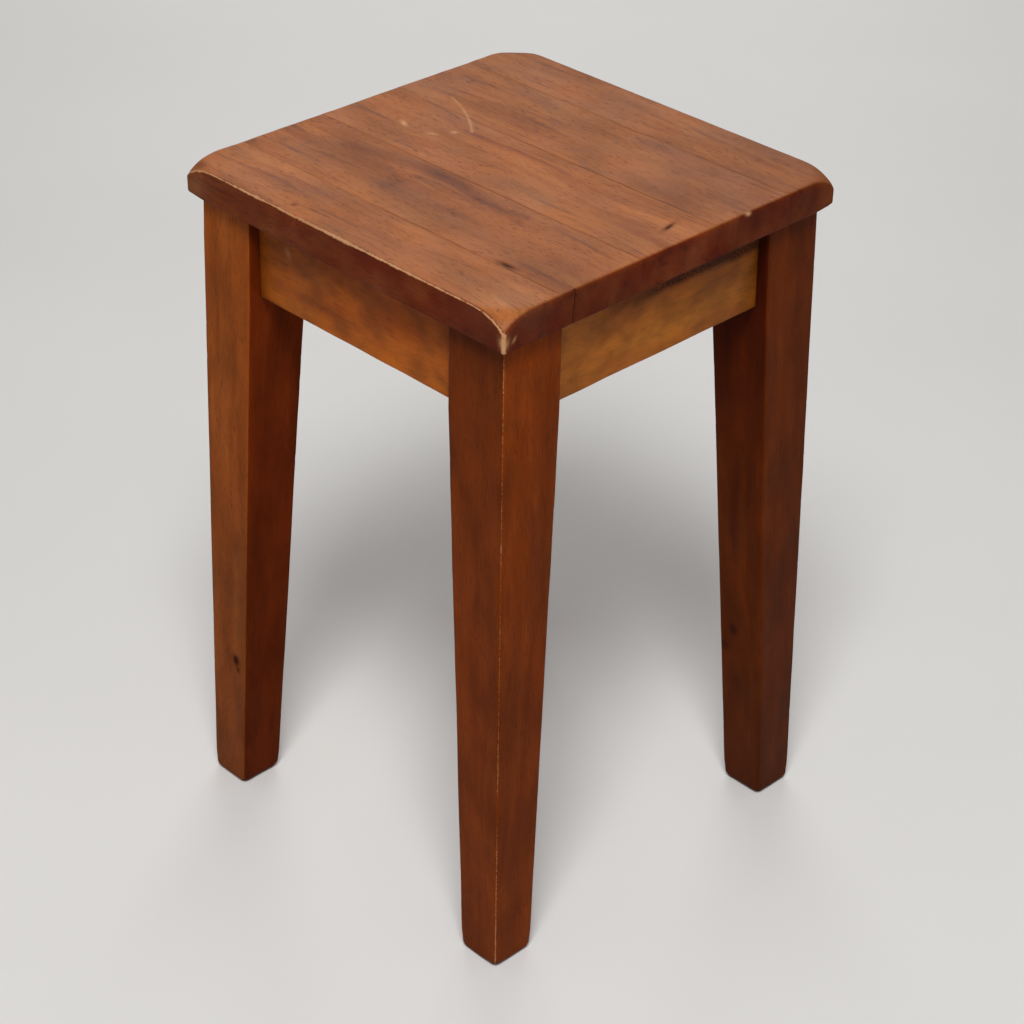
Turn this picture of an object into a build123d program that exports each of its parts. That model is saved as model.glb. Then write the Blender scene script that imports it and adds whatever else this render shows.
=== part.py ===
from build123d import *
import math
import os

# Square wooden stool: a seat glued up from five staves on four splayed, tapered legs, joined by
# four aprons with stub tenons, and stiffened by screwed corner blocks under the seat.
# Millimetres. +Z is up, the origin is on the floor under the middle of the seat, -Y is the front
# and the seat's grain runs along X.

# ---- driving dimensions ----
stool_height = 450.0
seat_side = 271.0
seat_thickness = 21.0
seat_overhang = 6.5
full_stave_width = 61.8
full_stave_count = 3
end_edge_radius = 2.5
side_edge_radius = 0.8
plan_corner_radius = 1.5
corner_roll_radius = 25.0
corner_roll_drop = 10.5

leg_top_size = 44.4
leg_foot_size = 31.0
leg_splay = 9.8
leg_arris_radius = 2.0
foot_bevel = 3.0

apron_height = 55.0
apron_thickness = 20.0
apron_setback = 7.0
tenon_thickness = 9.0
tenon_top_shoulder = 8.0
tenon_bottom_shoulder = 5.0
tenon_meeting_gap = 3.0
tenon_cheek_clearance = 0.1
tenon_end_clearance = 1.5

block_height = 30.0
block_thickness = 20.0
block_leg_gap = 0.5

screw_cover = 6.0
screw_point_length = 4.0
screw_slot_width = 0.9
screw_slot_depth = 1.1
apron_screw_diameter = 4.0
seat_screw_diameter = 4.5
leg_screw_diameter = 5.0
head_to_shank_ratio = 2.0
head_bore_clearance = 0.4
head_bore_length = 13.2
head_sink = 0.6
seat_screw_spacing = 28.0

# ---- derived levels and offsets from the middle ----
seat_half = seat_side / 2
seat_underside = stool_height - seat_thickness
apron_underside = seat_underside - apron_height
leg_outer_top = seat_half - seat_overhang
apron_outer_face = leg_outer_top - apron_setback
apron_inner_face = apron_outer_face - apron_thickness
tenon_middle = apron_outer_face - apron_thickness / 2
tenon_near_cheek = tenon_middle - tenon_thickness / 2
tenon_reach = tenon_near_cheek - tenon_meeting_gap
block_underside = seat_underside - block_height
block_middle_height = seat_underside - block_height / 2
diagonal = math.sqrt(2)
edge_stave_width = (seat_side - full_stave_count * full_stave_width) / 2

# The corner block is a bar across the corner: these are the sums x + y on its two long faces.
block_outer_sum = 2 * (leg_outer_top - leg_top_size) - block_leg_gap * diagonal
block_inner_sum = block_outer_sum - block_thickness * diagonal
block_middle_sum = (block_outer_sum + block_inner_sum) / 2

beyond = stool_height
corner_turns = {"front_right": 0, "back_right": 90, "back_left": 180, "front_left": 270}
side_turns = {"front": 0, "right": 90, "back": 180, "left": 270}


def leg_outer(height):
    """Distance of a leg's outer face from the middle at a height."""
    return leg_outer_top + leg_splay * (seat_underside - height) / seat_underside


def leg_inner(height):
    """Distance of a leg's inner face: full size beside the aprons, then a straight taper."""
    share = min(height / apron_underside, 1.0)
    return leg_outer(height) - leg_foot_size - (leg_top_size - leg_foot_size) * share


def turned(shape, degrees):
    """The shape turned about the stool's vertical middle line."""
    return Rot(0, 0, degrees) * shape


# ---- seat ----
def seat_profile(plane, radius):
    """The seat's outline seen from one side, with its two upper edges rounded."""
    centre = Pos(0, seat_underside + seat_thickness / 2)
    outline = centre * Rectangle(seat_side, seat_thickness)
    upper = outline.vertices().group_by(Axis.Y)[-1]
    return extrude(plane * fillet(upper, radius), amount=beyond, both=True)


def corner_roll():
    """What is cut away above one seat corner: a rolled-over surface square to the diagonal."""
    run = math.sqrt(corner_roll_radius**2 - (corner_roll_radius - corner_roll_drop) ** 2)
    start = seat_half * diagonal - run
    angle = math.degrees(math.asin(run / corner_roll_radius))
    centre = (start, stool_height - corner_roll_radius)
    arc = CenterArc(centre, corner_roll_radius, 90 - angle, angle)
    corner = arc @ 0
    past = corner - (arc % 0) * corner_roll_drop
    above = stool_height + corner_roll_drop
    outline = [arc, Line(corner, past), Polyline(past, (past.X, above), (start, above), arc @ 1)]
    face = make_face(Curve() + outline)
    plane = Plane(origin=(0, 0, 0), x_dir=(1, 1, 0), z_dir=(1, -1, 0))
    return extrude(plane * face, amount=beyond, both=True)


def seat_panel():
    """The whole glued seat before it is divided into its staves."""
    plan = fillet(Rectangle(seat_side, seat_side).vertices(), plan_corner_radius)
    panel = extrude(plan, amount=beyond, both=True)
    panel = panel & seat_profile(Plane.XZ, end_edge_radius) & seat_profile(Plane.YZ, side_edge_radius)
    for degrees in corner_turns.values():
        panel = panel - turned(corner_roll(), degrees)
    return panel


def seat_staves():
    """The staves from front to back: full ones in the middle and a trimmed one at each edge."""
    widths = [edge_stave_width] + [full_stave_width] * full_stave_count + [edge_stave_width]
    panel = seat_panel()
    staves = []
    front = -seat_half
    for width in widths:
        cutter = Pos(0, front + width / 2, seat_underside) * Box(2 * beyond, width, 2 * seat_thickness)
        staves.append(panel & cutter)
        front += width
    return staves


# ---- frame under the seat ----
def leg_section(height, inset):
    """The leg's rounded square section at a height, drawn in by an inset all round."""
    outer = leg_outer(height) - inset
    inner = leg_inner(height) + inset
    square = Rectangle(outer - inner, outer - inner)
    middle = (outer + inner) / 2
    return Pos(middle, -middle, height) * fillet(square.vertices(), leg_arris_radius)


def tenon_bar(cheek_clearance, end_clearance):
    """The bar that forms both stub tenons of the front apron, or its mortises with clearance."""
    height = apron_height - tenon_top_shoulder - tenon_bottom_shoulder
    middle = apron_underside + tenon_bottom_shoulder + height / 2
    length = 2 * (tenon_reach + end_clearance)
    thickness = tenon_thickness + 2 * cheek_clearance
    return Pos(0, -tenon_middle, middle) * Box(length, thickness, height + 2 * cheek_clearance)


def apron():
    """The front apron: a board shouldered to the legs' slope, with a tenon at each end."""
    top = leg_inner(seat_underside)
    bottom = leg_inner(apron_underside)
    lower = [(-bottom, apron_underside), (bottom, apron_underside)]
    upper = [(top, seat_underside), (-top, seat_underside)]
    face = Plane.XZ.offset(apron_inner_face) * Polygon(*lower, *upper, align=None)
    board = extrude(face, amount=apron_thickness)
    return board + tenon_bar(0, 0)


def leg():
    """The front right leg, with rounded arrises, a bevelled foot and its two mortises."""
    heights = [foot_bevel, apron_underside, seat_underside]
    sections = [leg_section(0, foot_bevel)] + [leg_section(height, 0) for height in heights]
    blank = loft(sections, ruled=True)
    mortise = tenon_bar(tenon_cheek_clearance, tenon_end_clearance)
    return blank - mortise - turned(mortise, side_turns["right"])


# ---- corner blocks and their screws, drawn in the corner where x and y are positive ----
def corner_block():
    """A bar glued across a corner between two aprons, close behind the leg's inner arris."""
    face = apron_inner_face
    outline = [
        (face, block_outer_sum - face),
        (block_outer_sum - face, face),
        (block_inner_sum - face, face),
        (face, block_inner_sum - face),
    ]
    return extrude(Pos(0, 0, block_underside) * Polygon(*outline, align=None), amount=block_height)


def screw_blank(diameter, length):
    """A countersunk wood screw without its slot: head face at the origin, point along +Z."""
    shank = diameter / 2
    head = shank * head_to_shank_ratio
    outline = [
        (0, 0),
        (head, 0),
        (shank, head - shank),
        (shank, length - screw_point_length),
        (0, length),
    ]
    return revolve(Plane.XZ * Polygon(*outline, align=None), Axis.Z)


def screw(diameter, length):
    """The finished screw, with the slot for the driver across its head."""
    head = diameter * head_to_shank_ratio
    slot = Box(head, screw_slot_width, 2 * screw_slot_depth)
    return screw_blank(diameter, length) - slot


def apron_screw_places():
    """The two screws that hold a block to its aprons: (plane at the head, length)."""
    along = block_middle_sum - apron_inner_face
    bore_radius = apron_screw_diameter * head_to_shank_ratio / 2 + head_bore_clearance
    head_face = block_inner_sum - along + bore_radius + head_sink
    length = apron_inner_face - head_face + apron_thickness - screw_cover
    to_side = Plane(origin=(head_face, along, block_middle_height), z_dir=(1, 0, 0))
    to_back = Plane(origin=(along, head_face, block_middle_height), z_dir=(0, 1, 0))
    return [(to_side, length), (to_back, length)]


def seat_screw_places():
    """The two screws that pull the seat down on a block: (plane at the head, length)."""
    middle = block_middle_sum / 2
    step = seat_screw_spacing / 2 / diagonal
    length = block_height + seat_thickness - screw_cover
    spots = [(middle + step, middle - step), (middle - step, middle + step)]
    return [(Plane(origin=(x, y, block_underside), z_dir=(0, 0, 1)), length) for x, y in spots]


def leg_screw_places():
    """The screw along the diagonal from a block into its leg: (plane at the head, length)."""
    start = block_inner_sum / 2
    end = tenon_near_cheek - screw_cover
    place = Plane(origin=(start, start, block_middle_height), z_dir=(1, 1, 0))
    return [(place, (end - start) * diagonal)]


screw_kinds = {
    "apron_screws": (apron_screw_diameter, apron_screw_places()),
    "seat_screws": (seat_screw_diameter, seat_screw_places()),
    "leg_screws": (leg_screw_diameter, leg_screw_places()),
}


def all_screws(kind, maker):
    """Every screw of a kind at all four corners, made whole or as the blank that cuts its hole."""
    diameter, places = screw_kinds[kind]
    one_corner = [place * maker(diameter, length) for place, length in places]
    return [turned(one, degrees) for degrees in corner_turns.values() for one in one_corner]


def head_bores():
    """The bores that let the apron screws' heads sink below a block's sloping face."""
    radius = apron_screw_diameter * head_to_shank_ratio / 2 + head_bore_clearance
    bore = Pos(0, 0, -head_bore_length / 2) * Cylinder(radius, head_bore_length)
    one_corner = [place * bore for place, length in apron_screw_places()]
    return [turned(one, degrees) for degrees in corner_turns.values() for one in one_corner]


def near(shape, tool):
    """Whether a cutting tool can reach a shape at all."""
    return shape.bounding_box().overlaps(tool.bounding_box())


def drilled(shape, tools):
    """The shape with every tool that reaches it cut away."""
    for tool in tools:
        if near(shape, tool):
            shape = shape - tool
    return shape


def build_parts():
    """Every piece of the stool by name."""
    blanks = [tool for kind in screw_kinds for tool in all_screws(kind, screw_blank)]
    parts = {}
    for number, stave in enumerate(seat_staves(), start=1):
        parts[f"seat_stave_{number}"] = drilled(stave, blanks)
    for corner, degrees in corner_turns.items():
        parts[f"leg_{corner}"] = drilled(turned(leg(), degrees), blanks)
        block = turned(corner_block(), degrees - 90)
        parts[f"corner_block_{corner}"] = drilled(block, blanks + head_bores())
    for side, degrees in side_turns.items():
        parts[f"apron_{side}"] = drilled(turned(apron(), degrees), blanks)
    for kind in screw_kinds:
        parts[kind] = Compound(all_screws(kind, screw))
    return parts


def main():
    """Write each piece to its own file."""
    os.makedirs("parts", exist_ok=True)
    for name, shape in build_parts().items():
        export_step(shape, f"parts/{name}.step")
        print(f"{name}: {shape.volume / 1000:.1f} cm3")


main()
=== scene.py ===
"""Looks of a square wooden stool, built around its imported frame.

The stool is stained rubberwood under a satin lacquer: a seat glued up from staves, four tapered legs,
four aprons tenoned into them, and bare corner blocks with screws below. Every length is in metres.
"""

import logging
import math
from dataclasses import dataclass, field, replace
from enum import Enum
from functools import partial
from typing import Any, Iterable, Sequence

import bpy
import numpy as np
from mathutils import Matrix, Vector


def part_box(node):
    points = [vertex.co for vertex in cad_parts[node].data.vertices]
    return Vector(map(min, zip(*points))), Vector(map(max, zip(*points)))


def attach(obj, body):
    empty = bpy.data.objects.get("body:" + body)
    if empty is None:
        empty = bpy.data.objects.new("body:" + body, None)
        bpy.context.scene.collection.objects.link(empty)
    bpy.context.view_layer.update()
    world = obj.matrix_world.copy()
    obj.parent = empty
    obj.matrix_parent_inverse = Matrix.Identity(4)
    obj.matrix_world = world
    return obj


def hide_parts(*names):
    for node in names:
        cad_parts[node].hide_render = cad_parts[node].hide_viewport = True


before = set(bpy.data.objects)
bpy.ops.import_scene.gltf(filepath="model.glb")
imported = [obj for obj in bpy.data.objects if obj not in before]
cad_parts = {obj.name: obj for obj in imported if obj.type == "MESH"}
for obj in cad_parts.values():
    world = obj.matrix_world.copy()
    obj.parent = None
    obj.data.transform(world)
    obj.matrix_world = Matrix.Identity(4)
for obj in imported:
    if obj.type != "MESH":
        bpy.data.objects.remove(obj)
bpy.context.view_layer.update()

MM = 0.001
LOG = logging.getLogger("stool")
Array = np.ndarray
# How far inside or outside a worn strip a place is still told apart.
MOST_WORN = 5 * MM
# The single numbers that each vertex of a wooden piece carries for its finish.
LABELS = ("worn", "dirt_and_shade", "darkening", "tint", "mark", "streak")


class Axis(Enum):
    """The three directions of the shared frame."""

    X = 0
    Y = 1
    Z = 2


class Corner(Enum):
    """The corners under the seat, each with its turn from the front right one, in quarter turns."""

    FRONT_RIGHT = 0
    BACK_RIGHT = 1
    BACK_LEFT = 2
    FRONT_LEFT = 3

    @property
    def label(self) -> str:
        """The corner's name as the frame's nodes spell it."""
        return self.name.lower()


class Side(Enum):
    """The sides of the stool, each with its turn from the front, in quarter turns."""

    FRONT = 0
    RIGHT = 1
    BACK = 2
    LEFT = 3

    @property
    def label(self) -> str:
        """The side's name as the frame's nodes spell it."""
        return self.name.lower()


# ---------------------------------------------------------------- numbers and noise


def srgb(code: str) -> tuple[float, float, float, float]:
    """Turns an sRGB hex colour into linear light.

    Args:
        code: the colour as "#rrggbb".

    Returns:
        Linear red, green and blue, with an alpha of 1.
    """
    parts = [int(code[i : i + 2], 16) / 255 for i in (1, 3, 5)]
    linear = [c / 12.92 if c <= 0.04045 else ((c + 0.055) / 1.055) ** 2.4 for c in parts]
    return (linear[0], linear[1], linear[2], 1.0)


def noise(points: Array, cell: float | Sequence[float], seed: int) -> Array:
    """Smooth noise: random values on a lattice, blended by the smoothstep of the place in its cell.

    Args:
        points: places, one row each.
        cell: the lattice's spacing, one for all directions or one for each.
        seed: which lattice of random values to use.

    Returns:
        One value from -1 to 1 for each place.
    """
    size = 32
    table = np.random.default_rng(seed).uniform(-1, 1, (size, size, size))
    scaled = points / np.asarray(cell, float) + size / 2
    base = np.floor(scaled).astype(int)
    share = scaled - base
    share = share * share * (3 - 2 * share)
    total = np.zeros(len(points))
    for corner in np.ndindex(2, 2, 2):
        place = (base + corner) % size
        weight = np.where(corner, share, 1 - share).prod(axis=1)
        total += weight * table[place[:, 0], place[:, 1], place[:, 2]]
    return total


def quarter_turns(points: Array, turns: int) -> Array:
    """Turns places about the stool's upright middle line.

    Args:
        points: places, one row each.
        turns: how many quarter turns, counted anticlockwise from above.

    Returns:
        The turned places.
    """
    angle = turns * math.pi / 2
    c, s = round(math.cos(angle)), round(math.sin(angle))
    return points @ np.array([[c, s, 0], [-s, c, 0], [0, 0, 1]], float)


def grid_lines(low: float, high: float, step: float, margin: float, fine: float) -> Array:
    """Positions of grid lines along one direction, closer together near both ends.

    Args:
        low: the first position.
        high: the last position.
        step: the widest spacing, in the middle.
        margin: how far in from each end the fine spacing reaches.
        fine: the spacing within the margins.

    Returns:
        The positions in rising order.
    """
    edge = np.linspace(0, margin, max(2, round(margin / fine) + 1))
    count = max(2, math.ceil((high - low - 2 * margin) / step) + 1)
    middle = np.linspace(low + margin, high - margin, count)
    return np.concatenate([low + edge[:-1], middle, (high - edge[:-1])[::-1]])


def box_grid(lines: Sequence[Array]) -> tuple[Array, Array]:
    """The closed surface of a box as six grids that share their border vertices.

    Each side of the box is a function of two parameters, the positions of its two sets of grid
    lines, and faces are wound so that they point outwards.

    Args:
        lines: the grid lines' positions along X, Y and Z.

    Returns:
        The vertices, and the quads as rows of four vertex numbers.
    """
    shape = [len(one) for one in lines]
    index = np.indices(shape)
    last = np.array(shape)[:, None, None, None] - 1
    skin = ((index == 0) | (index == last)).any(axis=0)
    numbers = np.full(shape, -1)
    numbers[skin] = np.arange(skin.sum())
    places = index[:, skin]
    vertices = np.stack([lines[axis][places[axis]] for axis in range(3)], axis=1)
    quads = []
    for axis in range(3):
        for end in (0, -1):
            grid = np.take(numbers, end, axis=axis)
            ring = [grid[:-1, :-1], grid[1:, :-1], grid[1:, 1:], grid[:-1, 1:]]
            outwards = (end == -1) != (axis == 1)
            ring = ring if outwards else ring[::-1]
            quads.append(np.stack([one.ravel() for one in ring], axis=1))
    return vertices, np.concatenate(quads)


def round_edges(
    points: Array, axes: tuple[Axis, Axis], low: Sequence[Any], high: Sequence[Any], radii: Sequence[Any]
) -> Array:
    """Rounds the four edges of a box that run along the third direction.

    Within a radius of an edge the square corner of the section becomes a quarter circle: a place is
    drawn towards the circle's centre by the ratio of its square distance to its round distance.

    Args:
        points: places in the box, one row each.
        axes: the two directions of the section.
        low: the section's low limits along the two directions.
        high: its high limits.
        radii: the radius at (low, low), (high, low), (low, high) and (high, high).

    Returns:
        The moved places.
    """
    a, b = points[:, axes[0].value], points[:, axes[1].value]
    high_a = a > (np.asarray(low[0]) + high[0]) / 2
    high_b = b > (np.asarray(low[1]) + high[1]) / 2
    lower = np.where(high_a, radii[1], radii[0])
    upper = np.where(high_a, radii[3], radii[2])
    radius = np.where(high_b, upper, lower)
    centre_a = np.clip(a, low[0] + radius, high[0] - radius)
    centre_b = np.clip(b, low[1] + radius, high[1] - radius)
    away_a, away_b = a - centre_a, b - centre_b
    square = np.maximum(np.abs(away_a), np.abs(away_b))
    ratio = square / np.maximum(np.hypot(away_a, away_b), 1e-12)
    moved = points.copy()
    moved[:, axes[0].value] = centre_a + away_a * ratio
    moved[:, axes[1].value] = centre_b + away_b * ratio
    return moved


@dataclass(frozen=True)
class WornEdge:
    """An edge of a box where the lacquer has rubbed through, and how wide the bare strip is."""

    axes: tuple[Axis, Axis]
    at: tuple[float, float]
    width: float

    def reach(self, points: Array, seed: int) -> Array:
        """How far inside the bare strip each place lies, wandering along the edge.

        Args:
            points: places on the box before its edges are rounded.
            seed: which noise the strip's width follows.

        Returns:
            The strip's local width less the distance from the edge.
        """
        away_a = points[:, self.axes[0].value] - self.at[0]
        away_b = points[:, self.axes[1].value] - self.at[1]
        swing = 0.5 * noise(points, 50 * MM, seed + 5) + 0.5 * noise(points, 14 * MM, seed)
        swing += 0.25 * noise(points, 4 * MM, seed + 1)
        return self.width * (1 + swing) - np.hypot(away_a, away_b)


@dataclass(frozen=True)
class Mark:
    """A dent, chip or knot: an oval patch with a soft border, sunk by its depth."""

    centre: tuple[float, float, float]
    along: tuple[float, float, float]
    length: float
    width: float
    depth: float
    tone: float

    def strength(self, points: Array) -> Array:
        """One in the middle of the mark, falling off as a bell curve with its length and width.

        Args:
            points: finished places, one row each.

        Returns:
            The strength at each place, from 0 to 1.
        """
        direction = np.array(self.along) / np.linalg.norm(self.along)
        offset = points - np.array(self.centre)
        run = offset @ direction
        aside = np.linalg.norm(offset - run[:, None] * direction, axis=1)
        return np.exp(-((2 * run / self.length) ** 2) - (2 * aside / self.width) ** 2)


# ---------------------------------------------------------------- pieces


@dataclass
class Surface:
    """A closed mesh on its way to becoming a piece, with what its finish needs to know.

    Its grain is the place in the board that it was sawn from, with the fibres along X. The rest says
    how far each place is inside a worn strip, how dirty it is with painted shadow added, how much
    darker its stain lies (a deeper soak, with painted shade on the legs, the aprons and the seat's sides),
    how light it is (on the legs partly painted shade), how strong a mark it has, and how strong a mineral
    streak.
    """

    points: Array
    quads: Array
    grain: Array
    worn: Array
    dirt_and_shade: Array
    darkening: Array
    tint: Array
    mark: Array
    streak: Array

    def piece(self, name: str, finish: "Finish", slot: str, nodes: Iterable[str]) -> bpy.types.Object:
        """Puts the surface into the scene as a piece of the stool that stands for CAD nodes.

        Args:
            name: the piece's name.
            finish: what it is made of.
            slot: the record's material slot that the finish belongs to; not used.
            nodes: the CAD nodes that it replaces.

        Returns:
            The new object.
        """
        mesh = bpy.data.meshes.new(name)
        count = len(self.quads)
        mesh.vertices.add(len(self.points))
        mesh.vertices.foreach_set("co", self.points.astype(np.float32).ravel())
        mesh.loops.add(4 * count)
        mesh.loops.foreach_set("vertex_index", self.quads.astype(np.int32).ravel())
        mesh.polygons.add(count)
        mesh.polygons.foreach_set("loop_start", np.arange(0, 4 * count, 4, dtype=np.int32))
        mesh.polygons.foreach_set("use_smooth", np.ones(count, bool))
        mesh.update(calc_edges=True)
        vectors = mesh.attributes.new("grain", "FLOAT_VECTOR", "POINT")
        vectors.data.foreach_set("vector", self.grain.astype(np.float32).ravel())
        for label in LABELS:
            # The worn strip reaches the finish in millimetres.
            value = getattr(self, label) / (MM if label == "worn" else 1)
            attribute = mesh.attributes.new(label, "FLOAT", "POINT")
            attribute.data.foreach_set("value", value.astype(np.float32))
        mesh.validate()
        mesh.materials.append(finish.material())
        made = bpy.data.objects.new(name, mesh)
        bpy.context.scene.collection.objects.link(made)
        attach(made, "root")
        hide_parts(*nodes)
        LOG.info("%s: %d faces", name, count)
        return made


def node_points(name: str) -> Array:
    """The vertices of a CAD node.

    Args:
        name: the node's name.

    Returns:
        One row for each vertex.
    """
    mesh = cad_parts[name].data
    flat = np.empty(3 * len(mesh.vertices))
    mesh.vertices.foreach_get("co", flat)
    return flat.reshape(-1, 3)


def worn_depth(points: Array, edges: Iterable[WornEdge], seed: int) -> Array:
    """The furthest that each place lies inside any of the worn strips.

    Args:
        points: places on the box before its edges are rounded.
        edges: the worn edges.
        seed: which noise the strips follow.

    Returns:
        One length for each place, negative where the lacquer is whole.
    """
    reaches = [edge.reach(points, seed + 2 * number) for number, edge in enumerate(edges)]
    return np.clip(np.max(reaches, axis=0), -MOST_WORN, MOST_WORN)


# ---------------------------------------------------------------- finishes


# Settings of the nodes that the finishes share, and the number of a colour mix's output.
TIMES = {"operation": "MULTIPLY"}
PLUS = {"operation": "ADD"}
TIMES_PLUS = {"operation": "MULTIPLY_ADD"}
LARGER = {"operation": "MAXIMUM"}
SMALLER = {"operation": "MINIMUM"}
SMOOTH = {"interpolation_type": "SMOOTHSTEP"}
COLOUR = {"data_type": "RGBA"}
MIXED = 2
# A noise texture's values lie mostly between these two.
SPAN = (0.3, 0.7)


def add_node(
    tree: bpy.types.NodeTree,
    kind: str,
    inputs: dict[Any, Any] | Sequence[Any] = (),
    settings: dict[str, Any] | None = None,
    output: int | str = 0,
) -> bpy.types.NodeSocket | None:
    """Adds one shader node with its settings, and fills or links its inputs.

    Args:
        tree: the node tree that it goes into.
        kind: the node's type.
        inputs: a value or another node's output for each input, in order, or by name or number.
        settings: properties to set on the node.
        output: which of the node's outputs is wanted.

    Returns:
        The wanted output, or None where the node has no outputs.
    """
    node = tree.nodes.new(f"ShaderNode{kind}")
    for name, value in (settings or {}).items():
        setattr(node, name, value)
    for key, value in inputs.items() if isinstance(inputs, dict) else enumerate(inputs):
        if isinstance(value, bpy.types.NodeSocket):
            tree.links.new(value, node.inputs[key])
        else:
            node.inputs[key].default_value = value
    return node.outputs[output] if node.outputs else None


class Finish:
    """What a piece is made of, as a material that is made once and then shared."""

    name: str

    def material(self) -> bpy.types.Material:
        """The finish's material, made on first use.

        Returns:
            The material.
        """
        known = bpy.data.materials.get(self.name)
        if known:
            return known
        made = bpy.data.materials.new(self.name)
        made.use_nodes = True
        made.node_tree.nodes.clear()
        add_node(made.node_tree, "OutputMaterial", {"Surface": self.shade(made.node_tree)})
        return made

    def shade(self, tree: bpy.types.NodeTree) -> bpy.types.NodeSocket:
        """Builds the finish's nodes and returns the shader's output."""
        raise NotImplementedError


@dataclass(frozen=True)
class StainedRubberwood(Finish):
    """Planed rubberwood, stained reddish brown and sprayed with satin lacquer.

    To the eye it is warm brown with long soft bands, short dark pore lines along the grain, a low
    broad sheen, and pale raw wood wherever an edge has rubbed through. A feature's size is its length
    along the grain and its width across it. Real pores are about a third as wide as drawn here, which
    would be too fine to show.
    """

    name: str
    light: str
    middle: str
    dark: str
    streak: str = "#4c2420"
    pore: str = "#3a170c"
    soak_and_shade: str = "#ae7642"
    raw: str = "#dcaa7c"
    roughness: float = 0.42
    gloss: float = 0.12
    streak_share: float = 0.5
    pore_share: float = 0.4
    bare_share: float = 0.85
    contrast: float = 1.0
    cloudiness: float = 0.12
    bands: tuple[float, float] = (190 * MM, 9 * MM)
    mottles: tuple[float, float] = (80 * MM, 30 * MM)
    clouds: tuple[float, float] = (55 * MM, 22 * MM)
    fibres: tuple[float, float] = (22 * MM, 1.0 * MM)
    pores: tuple[float, float] = (6 * MM, 0.65 * MM)
    streaks: tuple[float, float] = (85 * MM, 6 * MM)
    specks: tuple[float, float] = (1.6 * MM, 1.2 * MM)
    smears: tuple[float, float] = (38 * MM, 30 * MM)
    # The fibres sway to the side by up to the reach, at so many waves in a metre.
    sway_rate: tuple[float, ...] = (9.0, 22.0, 22.0)
    sway_reach: tuple[float, ...] = (0, 20 * MM, 20 * MM)
    second_place: tuple[float, ...] = (0.31, 0.17, 0.23)
    band_spread: float = 0.16
    palest: float = 0.92
    relief: float = 0.12 * MM

    def pattern(
        self, tree: bpy.types.NodeTree, place: bpy.types.NodeSocket, size: tuple[float, float], detail: float
    ) -> bpy.types.NodeSocket:
        """Noise stretched along the grain to a feature's real length and width.

        Args:
            tree: the material's node tree.
            place: the place in grain coordinates.
            size: the feature's length and width.
            detail: how many finer layers the noise has.

        Returns:
            The noise's output, from 0 to 1.
        """
        per_metre = (1 / size[0], 1 / size[1], 1 / size[1])
        scaled = add_node(tree, "VectorMath", (place, per_metre), TIMES)
        inputs = {"Vector": scaled, "Scale": 1.0, "Detail": detail, "Roughness": 0.55}
        return add_node(tree, "TexNoise", inputs, output="Fac")

    def shade(self, tree: bpy.types.NodeTree) -> bpy.types.NodeSocket:
        """Builds colour, roughness and relief from the grain coordinates and the wear attributes.

        A map range's inputs are a value, the range it is taken from and the range it is taken to. A
        colour mix's are a share, and at numbers 6 and 7 the colours at shares of 0 and 1.

        Args:
            tree: the material's node tree.

        Returns:
            The shader's output.
        """
        add = partial(add_node, tree)
        grain = add("Attribute", settings={"attribute_name": "grain"}, output="Vector")
        worn, dirt_and_shade, darkening, tint, mark, drawn = (
            add("Attribute", settings={"attribute_name": label}, output="Fac") for label in LABELS
        )
        drift = add("VectorMath", (grain, self.sway_rate), TIMES)
        sway = add("TexNoise", {"Vector": drift, "Scale": 1.0, "Detail": 1.0}, output="Color")
        sideways = add("VectorMath", (sway, self.sway_reach), TIMES)
        place = add("VectorMath", (grain, sideways), PLUS)
        shifted = add("VectorMath", (place, self.second_place), PLUS)
        bands = self.pattern(tree, place, self.bands, 3.0)
        mottles = self.pattern(tree, shifted, self.mottles, 3.0)
        fibres = self.pattern(tree, place, self.fibres, 2.0)
        pores = self.pattern(tree, shifted, self.pores, 0.0)
        streaks = self.pattern(tree, shifted, self.streaks, 2.0)
        clouds = self.pattern(tree, grain, self.clouds, 2.0)
        specks = self.pattern(tree, grain, self.specks, 3.0)
        smears = self.pattern(tree, grain, self.smears, 2.0)

        # The stain: light and dark bands, evened out in mottles, with streaks broken up by fibres.
        spread = self.band_spread / self.contrast
        tone = add("MapRange", (bands, 0.5 - spread, 0.5 + spread), SMOOTH)
        banded = add("Mix", {0: tone, 6: srgb(self.dark), 7: srgb(self.light)}, COLOUR, MIXED)
        evened = add("MapRange", (mottles, 0.35, 0.62, 0.25, 0.8), SMOOTH)
        stain = add("Mix", {0: evened, 6: banded, 7: srgb(self.middle)}, COLOUR, MIXED)
        broken = add("MapRange", (fibres, 0.3, 0.6, 0.55, 1.0), SMOOTH)
        placed = add("Math", (drawn, broken), TIMES)
        scattered = add("MapRange", (streaks, 0.56, 0.74, 0.0, self.streak_share), SMOOTH)
        streaky = add("Math", (scattered, placed), LARGER)
        stain = add("Mix", {0: streaky, 6: stain, 7: srgb(self.streak)}, COLOUR, MIXED)

        # Its brightness: fine fibres, soft clouds and the board's own tint (on the legs with painted shade),
        # and darker where the stain soaked deeper and where shade is painted.
        fine = add("MapRange", (fibres, *SPAN, 0.93, 1.06), SMOOTH)
        cloudy = add("MapRange", (clouds, *SPAN, 1 - self.cloudiness, 1 + self.cloudiness), SMOOTH)
        uneven = add("Math", (fine, cloudy), TIMES)
        brightness = add("Math", (uneven, tint), TIMES)
        toned = add("VectorMath", {0: stain, "Scale": brightness}, {"operation": "SCALE"})
        multiplied = {**COLOUR, "blend_type": "MULTIPLY"}
        soak_and_shade = add("Mix", {0: darkening, 6: toned, 7: srgb(self.soak_and_shade)}, multiplied, MIXED)
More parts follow.
